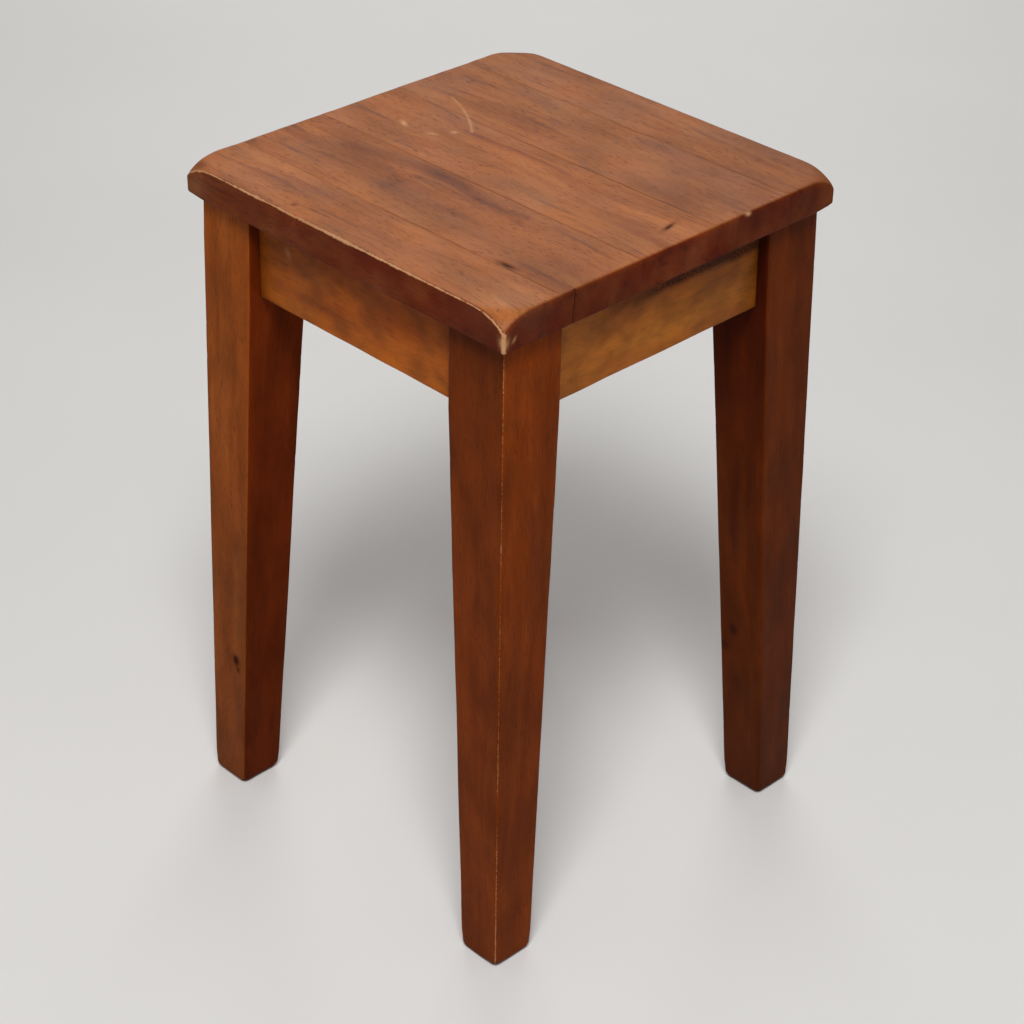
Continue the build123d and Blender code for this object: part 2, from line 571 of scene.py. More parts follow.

        # Pores, and in the same dark pore colour the dark marks, the dirt, and the painted shadow under the
        # seat and in the corners.
        pitted = add("MapRange", (pores, 0.63, 0.72, 0.0, self.pore_share), SMOOTH)
        colour = add("Mix", {0: pitted, 6: soak_and_shade, 7: srgb(self.pore)}, COLOUR, MIXED)
        turned = add("Math", (mark, -1.0), TIMES)
        dark_mark = add("Math", (turned, 0.0), LARGER)
        dirty = add("Math", (dirt_and_shade, dark_mark), PLUS)
        patchy = add("MapRange", (specks, 0.3, 0.6, 0.7, 1.0), SMOOTH)
        dirt_and_shade_share = add("Math", (dirty, patchy), TIMES)
        colour = add("Mix", {0: dirt_and_shade_share, 6: colour, 7: srgb(self.pore)}, COLOUR, MIXED)

        # Raw wood in the pale marks and the worn strips, whose border is ragged by a third of a mm.
        jagged = add("MapRange", (specks, *SPAN, -0.35, 0.35), SMOOTH)
        inside = add("Math", (worn, jagged), PLUS)
        rubbed = add("MapRange", (inside, -0.25, 0.5, 0.0, self.bare_share), SMOOTH)
        pale_mark = add("Math", (mark, 0.0), LARGER)
        bare = add("Math", (pale_mark, rubbed), PLUS)
        bare = add("Math", (bare, self.palest), SMALLER)
        stained = add("MapRange", (smears, 0.35, 0.65, 0.0, 0.35), SMOOTH)
        raw = add("Mix", {0: stained, 6: srgb(self.raw), 7: srgb(self.light)}, COLOUR, MIXED)
        colour = add("Mix", {0: bare, 6: colour, 7: raw}, COLOUR, MIXED)

        # The lacquer is smeared, and duller on raw wood, in pores, on sawn sides, in dirt and where shade is
        # painted.
        rough = add("MapRange", (smears, *SPAN, self.roughness - 0.05, self.roughness + 0.07), SMOOTH)
        darkened = add("Math", (darkening, dirt_and_shade_share), LARGER)
        for mask, extra in ((bare, 0.25), (pitted, 0.15), (darkened, 0.3)):
            rough = add("Math", (mask, extra, rough), TIMES_PLUS)
        height: Any = 0.0
        for feature, share in ((fibres, 0.5), (pitted, -0.8), (specks, 0.25)):
            height = add("Math", (feature, share, height), TIMES_PLUS)
        bump = add("Bump", {"Strength": 0.6, "Distance": self.relief, "Height": height})
        inputs = {"Base Color": colour, "Roughness": rough, "Normal": bump}
        inputs |= {"IOR": 1.5, "Specular IOR Level": self.gloss}
        return add("BsdfPrincipled", inputs)


@dataclass(frozen=True)
class BareRubberwood(Finish):
    """Sawn rubberwood left bare under the seat: pale straw, dry and dull, with saw lines across it."""

    name: str
    turn: float
    pale: str = "#c79a63"
    darkening: str = "#96683a"
    band_length: float = 72 * MM
    band_width: float = 6 * MM
    saw_spacing: float = 1.8 * MM
    saw_depth: float = 0.1 * MM
    # At a scale of 1 a wave texture turns through this many radians in a metre, 6.28 to a wave.
    wave_rate: float = 20.0
    wave_turn: float = 6.28

    def shade(self, tree: bpy.types.NodeTree) -> bpy.types.NodeSocket:
        """Builds the bare wood on object coordinates turned to the block's length.

        Args:
            tree: the material's node tree.

        Returns:
            The shader's output.
        """
        add = partial(add_node, tree)
        place = add("TexCoord", output="Object")
        turned = add("Mapping", {"Vector": place, "Rotation": (0, 0, self.turn)})
        per_metre = (1 / self.band_length, 1 / self.band_width, 1 / self.band_width)
        stretched = add("VectorMath", (turned, per_metre), TIMES)
        bands = add("TexNoise", {"Vector": stretched, "Scale": 1.0, "Detail": 5.0}, output="Fac")
        colour = add("Mix", {0: bands, 6: srgb(self.darkening), 7: srgb(self.pale)}, COLOUR, MIXED)
        scale = self.wave_turn / (self.wave_rate * self.saw_spacing)
        inputs = {"Vector": turned, "Scale": scale, "Distortion": 1.5}
        saw = add("TexWave", inputs, {"bands_direction": "X"}, "Fac")
        bump = add("Bump", {"Strength": 0.4, "Distance": self.saw_depth, "Height": saw})
        rough = add("MapRange", (bands, 0.0, 1.0, 0.6, 0.8))
        return add("BsdfPrincipled", {"Base Color": colour, "Roughness": rough, "Normal": bump})


@dataclass(frozen=True)
class ZincedSteel(Finish):
    """Zinc-plated wood screw steel gone dull with age: grey, blotched, with brown spots of rust."""

    name: str
    bright: str = "#9a958c"
    dull: str = "#5f564b"
    rust: str = "#6b3d22"
    blotch: float = 3 * MM
    spot: float = 1.2 * MM

    def shade(self, tree: bpy.types.NodeTree) -> bpy.types.NodeSocket:
        """Builds the blotched plating.

        Args:
            tree: the material's node tree.

        Returns:
            The shader's output.
        """
        add = partial(add_node, tree)
        place = add("TexCoord", output="Object")
        blotches, spots = (
            add("TexNoise", {"Vector": place, "Scale": 1 / size, "Detail": 4.0}, output="Fac")
            for size in (self.blotch, self.spot)
        )
        plate = add("Mix", {0: blotches, 6: srgb(self.dull), 7: srgb(self.bright)}, COLOUR, MIXED)
        rusty = add("MapRange", (spots, 0.58, 0.7))
        colour = add("Mix", {0: rusty, 6: plate, 7: srgb(self.rust)}, COLOUR, MIXED)
        rough = add("MapRange", (blotches, 0.0, 1.0, 0.35, 0.65))
        return add("BsdfPrincipled", {"Base Color": colour, "Metallic": 0.9, "Roughness": rough})


@dataclass(frozen=True)
class PaleFloor(Finish):
    """Matt painted studio floor: plain off-white with a faint unevenness."""

    name: str = "floor_paint"
    colour: str = "#e8e7e5"
    shadow: str = "#e0dfdd"

    def shade(self, tree: bpy.types.NodeTree) -> bpy.types.NodeSocket:
        """Builds the paint.

        Args:
            tree: the material's node tree.

        Returns:
            The shader's output.
        """
        add = partial(add_node, tree)
        place = add("TexCoord", output="Object")
        cloud = add("TexNoise", {"Vector": place, "Scale": 3.0, "Detail": 3.0}, output="Fac")
        colour = add("Mix", {0: cloud, 6: srgb(self.shadow), 7: srgb(self.colour)}, COLOUR, MIXED)
        return add("BsdfPrincipled", {"Base Color": colour, "Roughness": 0.6})


SEAT_FINISH = StainedRubberwood(
    "rubberwood_seat_stain",
    light="#a2602c",
    middle="#945426",
    dark="#874519",
    soak_and_shade="#9c5f2c",
    bare_share=0.66,
    streak_share=0.45,
    contrast=0.9,
    cloudiness=0.17,
    gloss=0.11,
)
LEG_FINISH = StainedRubberwood(
    "rubberwood_leg_stain",
    light="#7e380a",
    middle="#702f06",
    dark="#652705",
    streak_share=0.15,
    pore_share=0.3,
    bare_share=0.4,
    contrast=0.7,
    cloudiness=0.2,
    gloss=0.035,
)
PALE_LEG_FINISH = replace(
    LEG_FINISH,
    name="rubberwood_pale_leg_stain",
    light="#8d4a1a",
    middle="#7d3d10",
    dark="#70330a",
    bare_share=0.3,
)
APRON_FINISH = StainedRubberwood(
    "rubberwood_apron_stain",
    light="#b8640f",
    middle="#a5530e",
    dark="#933f0a",
    streak_share=0.1,
    pore_share=0.2,
    bare_share=0.35,
    contrast=0.6,
    cloudiness=0.24,
    bands=(150 * MM, 30 * MM),
    mottles=(45 * MM, 26 * MM),
    clouds=(24 * MM, 15 * MM),
    gloss=0.1,
)
PALE_APRON_FINISH = replace(
    APRON_FINISH, name="rubberwood_pale_apron_stain", light="#b8721f", middle="#a55e1c", dark="#934816"
)


# ---------------------------------------------------------------- the seat


@dataclass
class Seat:
    """The glued seat: staves side by side along X, with rolled-over corners and worn edges."""

    staves: int = 5
    roll_radius: float = 25 * MM
    roll_drop: float = 10.5 * MM
    roll_fullness: float = 1.3
    end_radius: float = 2.6 * MM
    front_radius: float = 1.3 * MM
    corner_radius: float = 1.6 * MM
    whole_corner_radius: float = 3.5 * MM
    underside_radius: float = 2.2 * MM
    corner_rounding: float = 3.2 * MM
    corner_reach: float = 11 * MM
    joint_radius: float = 0.05 * MM
    hollow: float = 0.06 * MM
    step: float = 1.0 * MM
    crack_top: float = -82.0 * MM
    crack_slant: float = 2.3 * MM
    crack_width: float = 0.9 * MM
    crack_depth: float = 1.3 * MM
    crack_reach: float = 1.5 * MM
    crack_lines: int = 22
    scratch_width: float = 0.7 * MM
    scratch_tone: float = 0.65
    seam_width: float = 0.4 * MM
    tints: tuple[float, ...] = (1.04, 0.99, 1.05, 0.98, 0.97)
    low: Array = field(init=False)
    high: Array = field(init=False)

    def __post_init__(self) -> None:
        """Takes the whole seat's box from its staves' CAD boxes."""
        boxes = [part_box(f"seat_stave_{number}") for number in range(1, self.staves + 1)]
        self.low = np.min([box[0] for box in boxes], axis=0)
        self.high = np.max([box[1] for box in boxes], axis=0)

    def marks(self) -> list[Mark]:
        """The dents and chips on the top, pale where the lacquer is gone and dark where dirt sits."""
        top = self.high[2]
        return [
            Mark((-0.090, -0.003, top), (2, -1, 0), 9 * MM, 3 * MM, 0.15 * MM, 0.75),
            Mark((-0.059, 0.010, top), (1, 0, 0), 4 * MM, 3 * MM, 0.10 * MM, 0.5),
            Mark((-0.066, -0.001, top), (3, 1, 0), 7 * MM, 2.5 * MM, 0.05 * MM, 0.35),
            Mark((0.090, -0.090, top), (1, 0, 0), 14 * MM, 4.5 * MM, 0.25 * MM, -1.1),
            Mark((0.117, 0.010, top), (1, -4, 0), 13 * MM, 3.2 * MM, 0.2 * MM, -1.2),
            Mark((-0.046, -0.126, top), (1, 0, 0), 4 * MM, 3.5 * MM, 0.1 * MM, -0.7),
            Mark((0.1345, 0.057, top - 1 * MM), (0, 1, 0), 4 * MM, 2.4 * MM, 0.3 * MM, 0.8),
            Mark((0.1345, -0.1345, top - 10 * MM), (0, 0, 1), 10 * MM, 5.0 * MM, 0.0, 0.85),
            Mark((0.1355, -0.1280, top - 12 * MM), (0, 1, 2), 4 * MM, 2.2 * MM, 0.0, 0.55),
            Mark((-0.128, -0.1355, top - 12 * MM), (1, 0, 0), 26 * MM, 18 * MM, 0.0, 0.12),
            Mark((0.119, -0.119, top - 3 * MM), (1, -1, 0), 30 * MM, 34 * MM, 0.0, 0.10),
            Mark((0.055, -0.018, top), (1, 0, 0), 80 * MM, 30 * MM, 0.0, 0.07),
        ]

    def streaks(self) -> list[Mark]:
        """The purple-brown streaks of mineral stain that lie along the grain of the top."""
        top = self.high[2]
        return [
            Mark((-0.010, -0.0385, top), (1, -0.03, 0), 70 * MM, 11 * MM, 0.0, 0.9),
            Mark((0.030, -0.044, top), (1, 0, 0), 46 * MM, 5 * MM, 0.0, 0.6),
            Mark((0.052, -0.040, top), (1, 0, 0), 18 * MM, 5 * MM, 0.0, 0.5),
            Mark((-0.029, -0.068, top), (1, 0, 0), 26 * MM, 14 * MM, 0.0, 0.6),
            Mark((0.020, -0.066, top), (1, 0, 0), 34 * MM, 6 * MM, 0.0, 0.4),
            Mark((-0.050, 0.080, top), (1, 0, 0), 22 * MM, 9 * MM, 0.0, 0.4),
            Mark((0.038, 0.087, top), (1, 0, 0), 28 * MM, 11 * MM, 0.0, 0.4),
            Mark((-0.082, -0.046, top), (1, 0, 0), 40 * MM, 18 * MM, 0.0, 0.4),
            Mark((0.100, 0.080, top), (1, 0, 0), 90 * MM, 110 * MM, 0.0, 0.32),
            Mark((0.100, -0.066, top), (1, 0, 0), 80 * MM, 44 * MM, 0.0, 0.25),
        ]

    def crack(self, points: Array) -> Array:
        """A drying crack in the right end: a slanting line with a bell curve across it.

        The line moves over with depth below the top, and the crack dies out a little way in from the
        end.

        Args:
            points: places on the seat before its edges are rounded.

        Returns:
            How open the crack is at each place, from 0 to 1.
        """
        share_down = (self.high[2] - points[:, 2]) / (self.high[2] - self.low[2])
        line = self.crack_top - self.crack_slant * share_down + 0.25 * MM * noise(points, 5 * MM, 91)
        across = np.exp(-(((points[:, 1] - line) / (self.crack_width / 2)) ** 2))
        return across * np.exp(-((self.high[0] - points[:, 0]) / self.crack_reach))

    def scratch(self, points: Array) -> Array:
        """A long curved scratch: pale within a hair's breadth of an arc of a circle on the top.

        The arc passes through three places, and the strength is a bell curve of the distance from
        its circle, held between its two ends.

        Args:
            points: finished places, one row each.

        Returns:
            The scratch's strength at each place, from 0 to 1.
        """
        start, middle, end = (-0.0998 + 0.0456j), (-0.078 + 0.0362j), (-0.0514 + 0.0175j)
        ratio = (end - start) / (middle - start)
        centre = (middle - start) * (ratio - abs(ratio) ** 2) / (2j * ratio.imag) + start
        radius = abs(start - centre)
        plane = points[:, 0] + 1j * points[:, 1]
        off = np.abs(np.abs(plane - centre) - radius)
        is_between = np.abs(plane - (start + end) / 2) < abs(end - start) / 2
        is_on_top = points[:, 2] > self.high[2] - 1 * MM
        return np.exp(-((off / self.scratch_width) ** 2)) * is_between * is_on_top

    def roll(self, points: Array) -> Array:
        """How far the surface has dropped at each place by the rolled-over corners.

        The roll starts on a curve between two places on the edges, a superellipse about a centre
        further in, and past it the drop is that of a circle tangent to the top: the radius less the
        root of the radius squared less the run squared.

        Args:
            points: places on the seat, one row each.

        Returns:
            The drop at each place.
        """
        run = math.sqrt(self.roll_radius**2 - (self.roll_radius - self.roll_drop) ** 2)
        reach = run * math.sqrt(2)
        inwards = np.clip(np.abs(points[:, :2]) - self.high[:2] + reach, 0, None) / reach
        power = self.roll_fullness
        share = (inwards**power).sum(axis=1) ** (1 / power)
        past = run * np.clip((share - 1) / (2 ** (1 / power) - 1), 0, 1)
        return self.roll_radius - np.sqrt(self.roll_radius**2 - past**2)

    def worn_edges(self) -> list[WornEdge]:
        """The seat's outer edges, the near corner's rubbed the most and then the front one."""
        low, high = self.low, self.high
        return [
            WornEdge((Axis.Y, Axis.Z), (low[1], high[2]), 0.8 * MM),
            WornEdge((Axis.Y, Axis.Z), (high[1], high[2]), 0.5 * MM),
            WornEdge((Axis.X, Axis.Z), (low[0], high[2]), 0.3 * MM),
            WornEdge((Axis.X, Axis.Y), (high[0], low[1]), 2.4 * MM),
            WornEdge((Axis.X, Axis.Y), (low[0], low[1]), 0.3 * MM),
            WornEdge((Axis.X, Axis.Y), (high[0], high[1]), 0.3 * MM),
            WornEdge((Axis.X, Axis.Y), (low[0], high[1]), 0.3 * MM),
        ]

    def stave(self, number: int) -> Surface:
        """One stave: a box grid whose edges are rounded, whose corners roll over, and that is dented.

        Args:
            number: the stave's number, counted from the front.

        Returns:
            The stave's surface.
        """
        low, high = (np.array(corner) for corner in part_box(f"seat_stave_{number}"))
        low[2], high[2] = self.low[2], self.high[2]
        across = grid_lines(low[1], high[1], self.step, 2 * MM, 0.4 * MM)
        if low[1] < self.crack_top < high[1]:
            reach = self.crack_slant + self.crack_width
            around = np.linspace(self.crack_top - reach, self.crack_top + self.crack_width, self.crack_lines)
            across = np.concatenate([across[across < around[0]], around, across[across > around[-1]]])
        lines = [
            grid_lines(low[0], high[0], self.step, 4 * MM, 0.5 * MM),
            across,
            grid_lines(low[2], high[2], self.step, 3 * MM, 0.5 * MM),
        ]
        flat, quads = box_grid(lines)
        worn = worn_depth(flat, self.worn_edges(), seed=11)
        wander = 1 + 0.18 * noise(flat, 22 * MM, 5) + 0.12 * noise(flat, 7 * MM, 6)
        # Near the three whole corners the top and bottom edges are rounded over further.
        away = np.hypot(self.high[0] - abs(flat[:, 0]), self.high[1] - abs(flat[:, 1]))
        is_rubbed = (flat[:, 0] > 0) & (flat[:, 1] < 0)
        extra = self.corner_rounding * np.exp(-((away / self.corner_reach) ** 2)) * ~is_rubbed
        ends, under = self.end_radius * wander + extra / 2, self.underside_radius + extra
        points = round_edges(
            flat, (Axis.X, Axis.Z), (low[0], low[2]), (high[0], high[2]), (under, under, ends, ends)
        )
        first, last = number == 1, number == self.staves
        joint = self.joint_radius
        front = self.front_radius * wander + extra / 2 if first else joint
        back = self.front_radius * wander + extra / 2 if last else joint
        below = (under if first else joint, under if last else joint)
        points = round_edges(points, (Axis.Y, Axis.Z), low[1:], high[1:], (*below, front, back))
        rubbed, whole = self.corner_radius * wander, self.whole_corner_radius
        corners = (
            whole if first else joint,
            rubbed if first else joint,
            whole if last else joint,
            whole if last else joint,
        )
        points = round_edges(points, (Axis.X, Axis.Y), low[:2], high[:2], corners)
        share_up = (points[:, 2] - low[2]) / (high[2] - low[2])
        dish = self.hollow * (1 + noise(points, (80 * MM, 25 * MM, 40 * MM), 31 + number))
        sag = self.roll(points) + dish
        mark = np.zeros(len(points))
        for one in self.marks():
            strength = one.strength(points)
            sag += one.depth * strength
            mark += one.tone * strength
        faintness = 0.75 + 0.25 * noise(points, 3 * MM, 77)
        mark += self.scratch_tone * self.scratch(points) * faintness
        streak = np.clip(sum(one.tone * one.strength(points) for one in self.streaks()), 0, 0.8)
        points[:, 2] -= share_up * sag
        open_share = self.crack(flat)
        points[:, 0] -= self.crack_depth * open_share
        shift = np.random.default_rng(100 + number).uniform(-0.4, 0.4, 3)
        joints = [abs(flat[:, 1] - edge) for edge in (low[1], high[1]) if self.low[1] < edge < self.high[1]]
        seam = np.min(joints, axis=0)
        # The joints show where dirt has got in: most towards the right, and not on the sawn ends.
        patches = 0.3 + 0.5 * noise(flat, (40 * MM, 30 * MM, 200 * MM), 8)
        dirt = np.clip(patches + 2 * flat[:, 0] - flat[:, 1], 0, 1)
        dirt = dirt * (self.high[0] - flat[:, 0] > 3 * MM)
        dirt_and_shade = np.clip(0.3 * dirt * np.exp(-seam / self.seam_width) + 1.2 * open_share, 0, 0.95)
        # The sides are darker than the top, partly as the stain soaks in deeper on the sawn sides and partly
        # as painted shade, most by the near corner.
        inset = np.minimum(self.high[0] - abs(flat[:, 0]), self.high[1] - abs(flat[:, 1]))
        down = self.high[2] - flat[:, 2]
        darkening = np.clip((down - inset + 2.0 * MM) / (2 * MM), 0, 1) * (inset < 2.5 * MM)
        sides = noise(points, (34 * MM, 34 * MM, 16 * MM), 61) + 0.6 * noise(points, 9 * MM, 62)
        near_corner = np.hypot(points[:, 0] - self.high[0], points[:, 1] - self.low[1])
        towards_left = np.clip(-points[:, 0] / self.high[0], 0, 1)
        soak = 0.86 + 0.18 * np.exp(-near_corner / (90 * MM)) - 0.2 * towards_left
        darkening = np.clip(darkening * (soak + 0.14 * sides), 0, 1)
        tint = np.full(len(points), self.tints[number - 1])
        return Surface(points, quads, points + shift, worn, dirt_and_shade, darkening, tint, mark, streak)

    def build(self) -> None:
        """Builds every stave as a piece of its own."""
        for number in range(1, self.staves + 1):
            node = f"seat_stave_{number}"
            self.stave(number).piece(f"{node}_wood", SEAT_FINISH, "seat_wood", [node])


# ---------------------------------------------------------------- the legs


@dataclass
class Leg:
    """A square leg that tapers below the aprons and splays outwards, with worn arrises."""

    arris_radius: float = 2.0 * MM
    foot_radius: float = 4.0 * MM
    top_radius: float = 0.3 * MM
    foot_height: float = 14 * MM
    bevel_height: float = 3.0 * MM
    step: float = 1.4 * MM
    outer_wear: float = 0.3 * MM
    spared_wear: float = 0.35 * MM
    hollow: float = 0.10 * MM
    # How light the leg is at the foot and at the top, its own tone with painted shade in the change along the
    # leg, how dark the back and the left inner sides are painted as shade, and how much lighter one outer
    # side is painted than the other close to the seat, as painted light and shade.
    tones_and_shade: dict[Corner, tuple[float, float, float, float, float]] = field(
        default_factory=lambda: {
            Corner.FRONT_RIGHT: (0.97, 0.96, 0.2, 0.2, 0.6),
            Corner.BACK_RIGHT: (0.48, 0.73, 0.3, 0.8, 0.0),
            Corner.BACK_LEFT: (0.9, 1.0, 0.3, 0.3, 0.0),
            Corner.FRONT_LEFT: (0.84, 1.33, 0.84, 0.3, 0.0),
        }
    )
    heights: Array = field(init=False)
    outer: Array = field(init=False)
    inner: Array = field(init=False)

    def __post_init__(self) -> None:
        """Reads the front right leg's sections from its CAD node at the foot, the aprons and the top."""
        points = node_points("leg_front_right")
        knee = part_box("apron_front")[0][2]
        levels = [self.bevel_height, knee, points[:, 2].max()]
        rows = [points[np.abs(points[:, 2] - level) < 0.05 * MM] for level in levels]
        outer = [row[:, 0].max() for row in rows]
        inner = [row[:, 0].min() for row in rows]
        share = levels[0] / (levels[1] - levels[0])
        self.heights = np.array([0, *levels[1:]])
        self.outer = np.array([outer[0] + (outer[0] - outer[1]) * share, *outer[1:]])
        self.inner = np.array([inner[0] + (inner[0] - inner[1]) * share, *inner[1:]])

    def marks(self, corner: Corner) -> list[Mark]:
        """The small knots that show through the stain, in the leg's own finished place.

        Args:
            corner: which leg.

        Returns:
            The leg's knots, if it has any.
        """
        if corner is Corner.FRONT_LEFT:
            return [
                Mark((-0.112, -0.1365, 0.101), (0, 0, 1), 8 * MM, 6 * MM, 0.2 * MM, -1.6),
                Mark((-0.110, -0.1365, 0.094), (0, 0, 1), 5 * MM, 4 * MM, 0.1 * MM, -0.8),
            ]
        if corner is Corner.BACK_RIGHT:
            return [
                Mark((0.1125, 0.1000, 0.128), (0, 0, 1), 9 * MM, 6 * MM, 0.2 * MM, -1.6),
                Mark((0.1055, 0.1000, 0.112), (0, 0, 1), 8 * MM, 7 * MM, 0.1 * MM, -1.2),
                Mark((0.1060, 0.1000, 0.120), (0, 0, 1), 12 * MM, 3 * MM, 0.1 * MM, -0.7),
            ]
        return []

    def surface(self, corner: Corner) -> Surface:
        """One leg: a square section carried up the leg, its size and middle straight between levels.

        Args:
            corner: which leg.

        Returns:
            The leg's surface in its place.
        """
        seed = 200 + 10 * corner.value
        top = self.heights[-1]
        half_lines = grid_lines(-0.5, 0.5, 0.034, 0.08, 0.012)
        lines = [half_lines, half_lines, grid_lines(0, top, self.step, 6 * MM, 0.6 * MM)]
        unit, quads = box_grid(lines)
        height = unit[:, 2]
        outer = np.interp(height, self.heights, self.outer)
        inner = np.interp(height, self.heights, self.inner)
        half = (outer - inner) / 2
        local = np.column_stack([unit[:, 0] * 2 * half, unit[:, 1] * 2 * half, height])
        # In the front right leg's own section the outer sides are +X and -Y.
        # The near leg's outer arris has been knocked the most, above all close to the floor.
        wear = self.outer_wear * (0.6 + 1.2 * np.exp(-height / (60 * MM)))
        wear = wear if corner is Corner.FRONT_RIGHT else wear - self.spared_wear
        swing = noise(local, (9 * MM, 9 * MM, 30 * MM), seed) + 0.7 * noise(local, 5 * MM, seed + 1)
        worn = wear + self.outer_wear * swing - np.hypot(local[:, 0] - half, local[:, 1] + half)
        worn = np.clip(worn, -MOST_WORN, MOST_WORN)
        near_foot = np.clip(1 - height / self.foot_height, 0, 1)
        chips = np.clip(noise(local, (12 * MM, 12 * MM, 8 * MM), seed + 2) - 0.45, 0, 1)
        radius = self.arris_radius * (1 + 0.15 * noise(local, 25 * MM, seed + 3) + 0.5 * chips)
        radius = radius + (self.foot_radius - self.arris_radius) * near_foot
        points = round_edges(local, (Axis.X, Axis.Y), (-half, -half), (half, half), (radius,) * 4)
        foot = self.foot_radius * (1 + 0.25 * noise(local, 12 * MM, seed + 4))
        for axis in (Axis.X, Axis.Y):
            radii = (foot, foot, self.top_radius, self.top_radius)
            points = round_edges(points, (axis, Axis.Z), (-half, 0.0), (half, top), radii)
        hollow = self.hollow * (1 + noise(local, (20 * MM, 20 * MM, 60 * MM), seed + 5))
        points[:, :2] *= (1 - hollow / half)[:, None]
        grain = points[:, [2, 0, 1]] + np.random.default_rng(seed).uniform(-0.4, 0.4, 3)
        middle = (outer + inner) / 2
        points[:, 0] += middle
        points[:, 1] -= middle
        points = quarter_turns(points, corner.value)
        mark = np.zeros(len(points))
        for one in self.marks(corner):
            mark += one.tone * one.strength(points)
        dirt_and_shade = 0.35 * np.exp(-height / (5 * MM)) + 0.25 * np.exp(-(top - height) / (3 * MM))
        foot_tint, top_tint, back_painted_shade, left_painted_shade, painted_side_light = self.tones_and_shade[corner]
        share_up = height / top
        is_right, is_front = unit[:, 0] > 0.49, unit[:, 1] < -0.49
        is_back, is_left = unit[:, 1] > 0.49, unit[:, 0] < -0.49
        # Painted shade along the leg from foot to top, and on the near leg painted light on one outer side
        # and painted shade on the other close to the seat.
        tint = foot_tint + (top_tint - foot_tint) * share_up
        tint = tint * (1 + painted_side_light * share_up**6 * (1.0 * is_right - 0.45 * is_front))
        # Painted shade on the inner sides, rising up the left one.
        rising = np.clip((share_up - 0.45) / 0.4, 0, 1)
        darkening = np.where(is_back, back_painted_shade, np.where(is_left, left_painted_shade * rising, 0.0))
        # Painted shadow on the inner sides beside the aprons, darkest under the seat.
        dirt_and_shade += 0.7 * np.exp(-(top - height) / (16 * MM)) * (is_back | is_left)
        dirt_and_shade = np.clip(dirt_and_shade, 0, 0.95)
        return Surface(points, quads, grain, worn, dirt_and_shade, darkening, tint, mark, np.zeros(len(points)))

    def build(self) -> None:
        """Builds the four legs."""
        for corner in Corner:
            node = f"leg_{corner.label}"
            finish = PALE_LEG_FINISH if corner is Corner.FRONT_LEFT else LEG_FINISH
            self.surface(corner).piece(f"{node}_wood", finish, "leg_wood", [node])


# ---------------------------------------------------------------- the aprons


